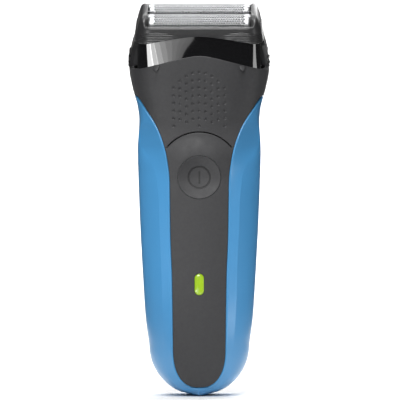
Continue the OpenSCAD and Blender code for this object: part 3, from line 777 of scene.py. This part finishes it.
def power_button():
    """Dished button with an engraved ring and a thin bar laid on its face; the ring's groove and the bar are
    coloured near black as painted shade of an engraving.
    """
    def face(x, z):
        r = math.hypot(x, z - BUTTON_Z)
        share = min(1.0, r / BUTTON_R) ** 2
        return front_y(x, z) + 0.05 - hill(x, z) * share + 0.9 * (1 - share)

    ring_in, ring_out, groove = 4.03, 4.68, 0.16
    rim = 0.18
    inner = BUTTON_R - rim
    radii = [0.02, 0.6, 1.2, 1.8, 2.4, 3.0, 3.6, ring_in - 0.04, ring_in + 0.06, (ring_in + ring_out) / 2,
             ring_out - 0.06, ring_out + 0.04, 5.2, 5.8, 6.4, 7.0, 7.6, 8.1, 8.4, inner]
    n = 96
    bm = bmesh.new()
    grid = []
    for r in radii:
        deep = groove if ring_in < r < ring_out else 0.0
        grid.append([(x, face(x, z) + deep, z) for x, z in circle(0, BUTTON_Z, r, n)])
    edge = []
    for k in range(1, 5):
        a0 = math.pi / 2 * k / 4
        r = inner + rim * math.sin(a0)
        start = circle(0, BUTTON_Z, inner, n)
        edge.append([(x, face(*near) + rim * (1 - math.cos(a0)), z)
                     for (x, z), near in zip(circle(0, BUTTON_Z, r, n), start)])
    stem = [(BUTTON_R, -11.7), (2.5, -11.7), (2.5, -9.5), (2.3, -9.3), (0.02, -9.3)]
    back = [[(x, y, z) for x, z in circle(0, BUTTON_Z, r, n)] for r, y in stem]
    add_grid(bm, grid + edge + back, closed=True)
    # The faces of the ring's groove get the near-black colour: painted shade in the engraving.
    for f in bm.faces:
        m = f.calc_center_median()
        r = math.hypot(m.x, m.z - BUTTON_Z)
        if ring_in - 0.05 < r < ring_out + 0.05 and m.y < -12:
            f.material_index = 1
    bmesh.ops.remove_doubles(bm, verts=bm.verts, dist=1e-4)
    button = to_object(bm, "power_button_piece", 30)
    finish_piece(button, "power_button_dish", "power_button", ["power_button"], "soft_grip", [ENGRAVING_SHADE])
    # The bar is a thin near-black sheet laid on the dish: painted shade standing in for an engraved bar.
    bar = bmesh.new()
    rows = []
    for z in np.linspace(-2.55, 2.55, 12):
        rows.append([(x, face(x, BUTTON_Z + z) - 0.02, BUTTON_Z + z) for x in (-0.37, 0, 0.37)])
    add_grid(bar, rows)
    round_edges(bar, 0.02, 0.1, 2)
    bar_piece = to_object(bar, "bar_piece")
    bar_piece.data.materials.append(ENGRAVING_SHADE)
    finish_piece(bar_piece, "power_button_bar", "power_button")
    return button


def led_lens():
    """Domed light window."""
    bm = bmesh.new()
    rows = []
    for size, lift in [(0.03, 0.42), (0.3, 0.4), (0.6, 0.3), (0.85, 0.12), (0.96, -0.02), (1.0, -0.2),
                       (1.0, -2.5)]:
        row = []
        for a, b in stadium(3.8, 8.7, 20):
            x, z = a * size, b * size
            row.append((x, front_y(x, LED_Z + z) - lift + 0.15, LED_Z + z))
        rows.append(row)
    rows.append([(a * 0.03, -11.5, LED_Z + b * 0.03) for a, b in stadium(3.8, 8.7, 20)])
    add_grid(bm, rows, closed=True)
    weld(bm)
    lens = to_object(bm, "lens_piece", 45)
    finish_piece(lens, "led_window", "housing", ["led_lens"], "green_lens")
    return lens


# ---------------------------------------------------------------- the head
def plan(x, u, r, n):
    """Closed rounded plan of the cassette, starting at the front centre and running to the right."""
    pts = []
    flat = x - r
    for i in range(n):
        pts.append((flat * i / n, -u))
    for i in range(15):
        t = math.pi / 2 * i / 14
        pts.append((flat + r * math.sin(t), -(u - r) - r * math.cos(t)))
    for i in range(1, 8):
        pts.append((x, -(u - r) + (u - r) * i / 8))
    quarter = pts + [(x, 0.0)]
    half = quarter + [(px, -pu) for px, pu in quarter[-2::-1]]
    return half + [(-px, pu) for px, pu in half[-2:0:-1]]


def oval_plan(x, u, power=5, n=144):
    """Closed superellipse outline, evenly fine along its length."""
    a = np.linspace(0, 2 * math.pi, 1440, endpoint=False)
    c, s = np.cos(a), np.sin(a)
    k = 2 / power
    line = np.column_stack([x * np.sign(c) * np.abs(c) ** k, u * np.sign(s) * np.abs(s) ** k])
    line = np.vstack([line, line[:1]])
    run = lengths(line)
    at = np.linspace(0, run[-1], n, endpoint=False)
    return [(float(np.interp(t, run, line[:, 0])), float(np.interp(t, run, line[:, 1]))) for t in at]


NECK = {}


def neck_point(x):
    """Where the neck line crosses the front of the body, in the head's frame."""
    key = round(x, 2)
    if key not in NECK:
        z = NECK_Z
        for _ in range(8):
            y = front_y(x, z)
            z = neck_z(x, y)
        NECK[key] = ((y - HEAD_Y) * math.cos(TILT) + (z - HEAD_Z) * math.sin(TILT),
                     (z - HEAD_Z) * math.cos(TILT) - (y - HEAD_Y) * math.sin(TILT))
    return NECK[key]


def collar(x, u, w):
    """Front of the head base: runs from the neck line, just behind the pad, up under the cassette."""
    if u > -6 or w < 5:
        return u
    u_neck, w_neck = neck_point(min(abs(x), 25))
    share = (w - w_neck) / (cassette_low(x) - w_neck)
    top = u - 0.3 * (1 - arch(x))
    bottom = u_neck + 0.2
    return max(min(top + (bottom - top) * (1 - share), u + 0.4), u - 2.4) if share < 1 else top


def head_base():
    """Gloss black base of the head, with its drive chamber and button pockets."""
    bm = bmesh.new()
    rows = []
    sizes = [(-5, 22.9, 10.2), (-4.6, 23.3, 10.5), (-4, 23.4, 10.6), (4, 23.4, 10.6), (5, 25, 11.6)]
    sizes += [(w, 25.3, 11.9) for w in np.linspace(6, 23.4, 36)] + [(23.75, 25.2, 11.75), (24, 25, 11.5)]
    for w, x, u in sizes:
        rows.append([head(px, collar(px, pu, w), w) for px, pu in oval_plan(x, u)])
    add_grid(bm, rows, closed=True)
    for row in (0, -1):
        ring = rows[row]
        centre = bm.verts.new(head(0, 0, sizes[row][0]))
        vs = [bm.verts.new(p) for p in ring]
        for i in range(len(vs)):
            bm.faces.new((vs[i], vs[(i + 1) % len(vs)], centre))
    weld(bm)
    base = to_object(bm, "head_base_piece", 30)
    tools = [prism("chamber", round_rect(19.5, 8.9, 1.5), head, 3, 40),
             prism("deck_room", round_rect(22.1, 11, 2.3), head, 17.2, 40),
             prism("motor_bore", [(a, b - 3) for a, b in circle(0, 0, 7.6, 48)], head, -6, 0),
             prism("shaft_bore", [(a, b - 3) for a, b in circle(0, 0, 2.2, 32)], head, -2, 6)]
    for s in (-1, 1):
        box = [(s * (a + 26.2), b + 10) for a, b in round_rect(5, 6.5, 0.6)]
        tools.append(prism("pocket", box[::s], head_across, -POCKET_U, POCKET_U))
        notch = [(s * a, b) for a, b in [(24.6, 16), (31.2, 16), (31.2, 18.7), (24.6, 18.7)]]
        tools.append(prism("notch", notch[::s], head_across, -POCKET_U, POCKET_U))
        edge = []
        for x in np.arange(19.6, 28, 1.2):
            edge.append((s * x, cassette_low(x) - 0.1))
        edge += [(s * 28, 40), (s * 19.6, 40)]
        tools.append(prism("side_cut", edge[::s], head_across, -30, 30))
    cut(base, tools)
    base.data.set_sharp_from_angle(angle=math.radians(30))
    finish_piece(base, "head_base_gloss", "housing", ["head_base"], "gloss_black")
    posts = bmesh.new()
    for s in (-1, 1):
        rows = [[head(x, u, w) for x, u in circle(s * POST_X, 0, r, 32)]
                for w, r in [(2.9, POST_R), (12.9, POST_R), (13, 2.3), (13, 0.96), (5, 0.96), (5, 0.02)]]
        add_grid(posts, rows, closed=True)
    weld(posts)
    finish_piece(to_object(posts, "posts"), "head_base_posts", "housing", (), "gloss_black")
    return base


HORN = [[18, 25.8], [20, 25.75], [22.4, 25.4], [24.8, 24.95], [27.6, 24.1], [29.4, 23.2], [30.2, 22.4]]
SILL_W, SILL_X = 26.4, 21.45


def cheek(u):
    """Height of the cassette's domed ends above the head's origin."""
    return 22 + 8.2 * max(0.0, 1 - (abs(u) / 13.05) ** 3) ** (1 / 3)


def cassette_top(x, u):
    """Upper edge of the cassette wall at a point of its plan: low sill, round corners, domed ends."""
    ax = abs(x)
    end = max(cheek(u), SILL_W)
    if ax < SILL_X - 4:
        return SILL_W
    if ax < SILL_X:
        return min(SILL_W + 4 - math.sqrt(max(16 - (ax - SILL_X + 4) ** 2, 0.0)), end)
    return end


def rib_wave(x, w, low):
    """Grip ribs on the cassette's lower sides, fading towards the centre."""
    height = w - low
    reach = 4.6 * float(smooth((abs(x) - 3) / 16))
    if height > reach or height < 0.25:
        return 0.0
    zone = float(smooth((reach - height) / 0.5)) * float(smooth((abs(x) - 6) / 9))
    return 0.30 * zone * (0.5 + 0.5 * math.cos(2 * math.pi * (w - 18.9) / 0.72)) ** 1.5


def cassette_frame():
    """Frame of the foil cassette: arched skirt, ribs, low front wall and domed ends."""
    outline = plan(CASSETTE_X, CASSETTE_U, CASSETTE_R, 44)
    rows_n = 64
    outer, inner = [], [[] for _ in range(6)]
    for px, pu in outline:
        ax = abs(px)
        low, top = cassette_low(px), cassette_top(px, pu)
        shrink = max(0.0, (ax - 15) / (CASSETTE_X - 15))
        gx, gu = normal_of(px, pu)
        column = []
        for i in range(rows_n + 1):
            w = low + (top - low) * i / rows_n
            x = px - math.copysign((CASSETTE_X - rail(HORN, w)) * shrink, px)
            tuck = 0.35 * float(smooth((w - 23) / 4)) if abs(pu) > 7 else 0.0
            near = max(0.0, w - (top - 0.9)) / 0.9
            push = rib_wave(px, w, low) - 0.9 * (1 - math.sqrt(max(0.0, 1 - near ** 2)))
            column.append(head(x + gx * push, pu - math.copysign(tuck, pu) + gu * push, w))
        outer.append(column)
        # inner face: a lip that rolls in over the foils' ends, then straight down
        end = ax > SILL_X
        ix = math.copysign(1, px) if end else px / SILL_X
        iu = max(-10.9, min(10.9, pu * 10.9 / 12.2))
        faces = [(0.35, 0.02), (0.55, 0.3), (0.0, 0.9), (0.0, 1.6)] if end else [(0.0, 0.02)] * 4
        for k, (roll, down) in enumerate(faces):
            inner[k].append(head(ix * (SILL_X - roll), iu, top - down))
        inner[4].append(head(ix * SILL_X, iu, min(24.5, top - 1.7)))
        inner[5].append(head(ix * SILL_X * 22.2 / SILL_X, iu, low + 0.1))
    rings = [[column[i] for column in outer] for i in range(rows_n + 1)]
    bm = bmesh.new()
    add_grid(bm, rings + inner + [rings[0]], closed=True)
    weld(bm, 1e-3)
    frame_piece = to_object(bm, "cassette_piece", 42)
    return finish_piece(frame_piece, "cassette_frame_shell", "cassette", ["cassette_frame"], "frame_black")


def normal_of(px, pu):
    """Outward direction of the cassette's plan at one of its points."""
    dx = px - math.copysign(min(abs(px), CASSETTE_X - CASSETTE_R), px)
    du = pu - math.copysign(min(abs(pu), CASSETTE_U - CASSETTE_R), pu)
    d = math.hypot(dx, du)
    if d < 1e-6:
        return 0.0, math.copysign(1, pu)
    return dx / d, du / d


def foil(side, name, body, node):
    """Arched steel foil with rows of real holes and plain ends."""
    pitch, step, hole = 1.0, 0.86, 0.39
    centre = side * FOIL_U
    legs = 4.8
    half_arc = math.pi / 2 * FOIL_R

    def place(x, s, lift=0.0):
        """s runs round the arch from its crest; beyond a quarter turn it runs down the leg."""
        r = FOIL_R - lift
        if abs(s) <= half_arc:
            a = s / FOIL_R
            return head(x, centre + r * math.sin(a), FOIL_W + r * math.cos(a))
        return head(x, centre + math.copysign(r, s), FOIL_W - (abs(s) - half_arc))

    bm = bmesh.new()
    span = 18.5
    rows = int(round(2 * (half_arc - 0.3) / step))
    s0 = -rows * step / 2
    for i in range(rows):
        shift = 0.5 * pitch if i % 2 else 0.0
        x = -span + shift
        low, high = s0 + i * step, s0 + (i + 1) * step
        mid = (low + high) / 2
        while x + pitch < span + 1e-6:
            x1 = x + pitch
            ring = [(x, low), (x + pitch / 2, low), (x1, low), (x1, mid), (x1, high), (x + pitch / 2, high),
                    (x, high), (x, mid)]
            cx = (x + x1) / 2
            hole_pts = []
            for px, ps in ring:
                a = math.atan2(ps - mid, px - cx)
                hole_pts.append((cx + hole * math.cos(a), mid + hole * 0.95 * math.sin(a)))
            outer_v = [bm.verts.new(place(*p)) for p in ring]
            inner_v = [bm.verts.new(place(*p)) for p in hole_pts]
            for k in range(8):
                bm.faces.new((outer_v[k], outer_v[(k + 1) % 8], inner_v[(k + 1) % 8], inner_v[k]))
            x = x1
    # fill the half cells of the shifted rows, then the plain ends and the legs
    for i in range(1, rows, 2):
        low, high = s0 + i * step, s0 + (i + 1) * step
        mid = (low + high) / 2
        for s in (-1, 1):
            xa, xb = s * span, s * (span - pitch / 2)
            half = [(xa, low), (xb, low), (xb, mid), (xb, high), (xa, high), (xa, mid)]
            bm.faces.new([bm.verts.new(place(*q)) for q in half])
    for s in (-1, 1):
        grid = []
        for x in (s * span, s * (span + 1), s * FOIL_X):
            row = []
            for i in range(rows):
                row += [(x, s0 + i * step), (x, s0 + (i + 0.5) * step)]
            row.append((x, -s0))
            grid.append([place(*p) for p in row])
        add_grid(bm, grid)
        grid = []
        for ps in (s * -s0, s * half_arc, s * (half_arc + 2.4), s * (half_arc + legs)):
            xs = [-FOIL_X, -span - 1] + list(np.arange(-span, span + 0.01, pitch / 2)) + [span + 1, FOIL_X]
            grid.append([place(x, ps) for x in xs])
        add_grid(bm, grid)
    weld(bm, 2e-3)
    bm.normal_update()
    bmesh.ops.recalc_face_normals(bm, faces=bm.faces)
    piece = to_object(bm, name, 60)
    m = piece.modifiers.new("sheet", "SOLIDIFY")
    m.thickness, m.offset = 0.09 * MM, -1
    bpy.context.view_layer.update()
    piece.data = bpy.data.meshes.new_from_object(piece.evaluated_get(bpy.context.evaluated_depsgraph_get()))
    piece.modifiers.clear()
    return finish_piece(piece, name, body, [node], "foil_steel")


def release_button(side, name, body, node):
    """Head release button: rounded outside with three grip ribs."""
    side_line = [[0.5, 28.5], [3, 28.9], [6.5, 29.0], [9.5, 28.85], [13, 28.2], [16, 27.4], [18.4, 26.6]]

    def inner(w):
        return 26.35 if w >= 16.2 else max(23.0, 28.1 - 1.7 * (w - 1))

    bm = bmesh.new()
    rows = []
    ws = np.linspace(1.0, 18.4, 100)
    us = np.linspace(-6, 6, 25)
    grid = []
    for w in ws:
        row = []
        for u in us:
            edge = smooth((6.0 - abs(u)) / 1.4)
            rib = 0.0
            for centre in (6.0, 8.6, 11.2):
                rib = max(rib, 0.55 * math.exp(-((w - centre) / 0.45) ** 2))
            across_rib = rib * float(smooth((5.4 - abs(u)) / 1.5))
            x = rail(side_line, w) - 1.6 * (1 - float(edge)) ** 1.5 - 0.5 + across_rib
            row.append(head(side * x, u, w))
        grid.append(row)
    low_in = [[head(side * inner(w), u, w) for u in us] for w in ws]
    add_grid(bm, grid)
    add_grid(bm, low_in)
    add_grid(bm, [[row[0] for row in grid], [row[0] for row in low_in]])
    add_grid(bm, [[row[-1] for row in grid], [row[-1] for row in low_in]])
    add_grid(bm, [grid[0], low_in[0]])
    add_grid(bm, [grid[-1], low_in[-1]])
    weld(bm)
    piece = to_object(bm, name, 35)
    # trim along the neck line, with the same gap as the CAD
    lift = 0.8
    neck = [(x, -NECK_DROP * arch(x)) for x in np.arange(40, -41, -2.0)]
    outline = [(-40, -60), (40, -60)] + neck

    def neck_place(a, b, c):
        return (a, NECK_Y + c * math.cos(NECK_TILT) - b * math.sin(NECK_TILT),
                NECK_Z + lift + c * math.sin(NECK_TILT) + b * math.cos(NECK_TILT))

    cut(piece, [prism("neck_room", outline, neck_place, -40, 60)])
    piece.data.set_sharp_from_angle(angle=math.radians(35))
    return finish_piece(piece, name, body, [node], "button_black")


# ---------------------------------------------------------------- build
front_shell()
rear_shell()
upper_grip_pad()
centre_strip()
rear_grip_pad()
power_button()
led_lens()
head_base()
cassette_frame()
foil(-1, "front_foil_sheet", "front_foil", "front_foil")
foil(1, "rear_foil_sheet", "rear_foil", "rear_foil")
release_button(-1, "release_left_cap", "release_left", "release_button_left")
release_button(1, "release_right_cap", "release_right", "release_button_right")

NODE_SLOT = {s["node"]: s["material_slot"] for s in frame["record"]["subparts"]}
for node, obj in frame["nodes"].items():
    if obj.hide_render:
        continue
    obj.data.materials.clear()
    obj.data.materials.append(MATS[NODE_SLOT[node]])
    obj.data.shade_smooth()
    obj.data.set_sharp_from_angle(angle=math.radians(35))


# ---------------------------------------------------------------- stage, light and camera
def stage():
    """Narrow roll of pale paper: floor, a wide bend and an upright."""
    bend = [(0.55 + 0.3 * math.sin(a), 0.3 - 0.3 * math.cos(a)) for a in np.linspace(0, math.pi / 2, 10)]
    bm = bmesh.new()
    add_grid(bm, [[(x, y, z) for x in (-0.17, 0.17)] for y, z in [(-0.1, 0), *bend, (0.85, 0.9)]])
    mesh = bpy.data.meshes.new("backdrop")
    bm.to_mesh(mesh)
    bm.free()
    mesh.shade_smooth()
    obj = bpy.data.objects.new("backdrop", mesh)
    bpy.context.scene.collection.objects.link(obj)
    obj.data.materials.append(material("backdrop_paper", (0.93, 0.93, 0.93), 0.9,
                                       grain=(3, (0.92, 0.92, 0.92), 0.5)))


def area_light(name, place, target, size, radiance):
    """Soft box of a given size in metres, with the brightness of its face in radiance."""
    data = bpy.data.lights.new(name, "AREA")
    data.shape = "RECTANGLE"
    data.size, data.size_y = size
    data.energy = radiance * math.pi * size[0] * size[1]
    obj = bpy.data.objects.new(name, data)
    obj.location = place
    obj.rotation_euler = (Vector(target) - Vector(place)).to_track_quat("-Z", "Y").to_euler()
    bpy.context.scene.collection.objects.link(obj)


HEAD_MIDDLE = (0, 0, 0.14)


def lights():
    middle = (0, 0, 0.09)
    area_light("key", (-0.14, -1.0, 0.62), middle, (0.3, 0.3), 30)
    # low card in front of the paper, brighter towards its left end, for the gloss collar
    ends = -0.02 * (0.66 / 0.02) ** np.linspace(0, 1, 10)
    for k, (x0, x1) in enumerate(zip(ends[:-1], ends[1:])):
        x = (x0 + x1) / 2
        area_light(f"low_card_{k}", (x, -0.6, -0.13 + 0.25 * (x + 0.05)), HEAD_MIDDLE, (x0 - x1, 0.17),
                   1.0 + 8.2 * (-x / 0.5) ** 1.2)
    area_light("strip_right", (0.36, -0.17, 0.0), HEAD_MIDDLE, (0.1, 0.2), 3.5)
    area_light("back", (0.25, 0.6, 0.45), middle, (0.3, 0.3), 6)
    area_light("top", (0, -0.3, 0.75), middle, (0.2, 0.2), 22)
    area_light("paper_wash", (0, 0.3, 0.8), (0, 0.75, 0.05), (0.8, 0.4), 9)
    world = bpy.data.worlds.new("studio")
    world.use_nodes = True
    tree = world.node_tree
    background = tree.nodes["Background"]
    path = tree.nodes.new("ShaderNodeLightPath")
    power = tree.nodes.new("ShaderNodeMapRange")
    power.inputs["To Min"].default_value = 0.06
    power.inputs["To Max"].default_value = 1.0
    tree.links.new(path.outputs["Is Camera Ray"], power.inputs["Value"])
    tree.links.new(power.outputs["Result"], background.inputs["Strength"])
    background.inputs["Color"].default_value = (1, 1, 1, 1)
    bpy.context.scene.world = world
    bpy.context.scene.view_settings.view_transform = "Standard"


def camera():
    data = bpy.data.cameras.new("camera")
    data.lens, data.sensor_width = 286, 36
    obj = bpy.data.objects.new("camera", data)
    obj.location = (0.0003, -1.3, 0.0798)
    obj.rotation_euler = (math.pi / 2, 0, 0)
    bpy.context.scene.collection.objects.link(obj)
    bpy.context.scene.camera = obj


stage()
lights()
camera()
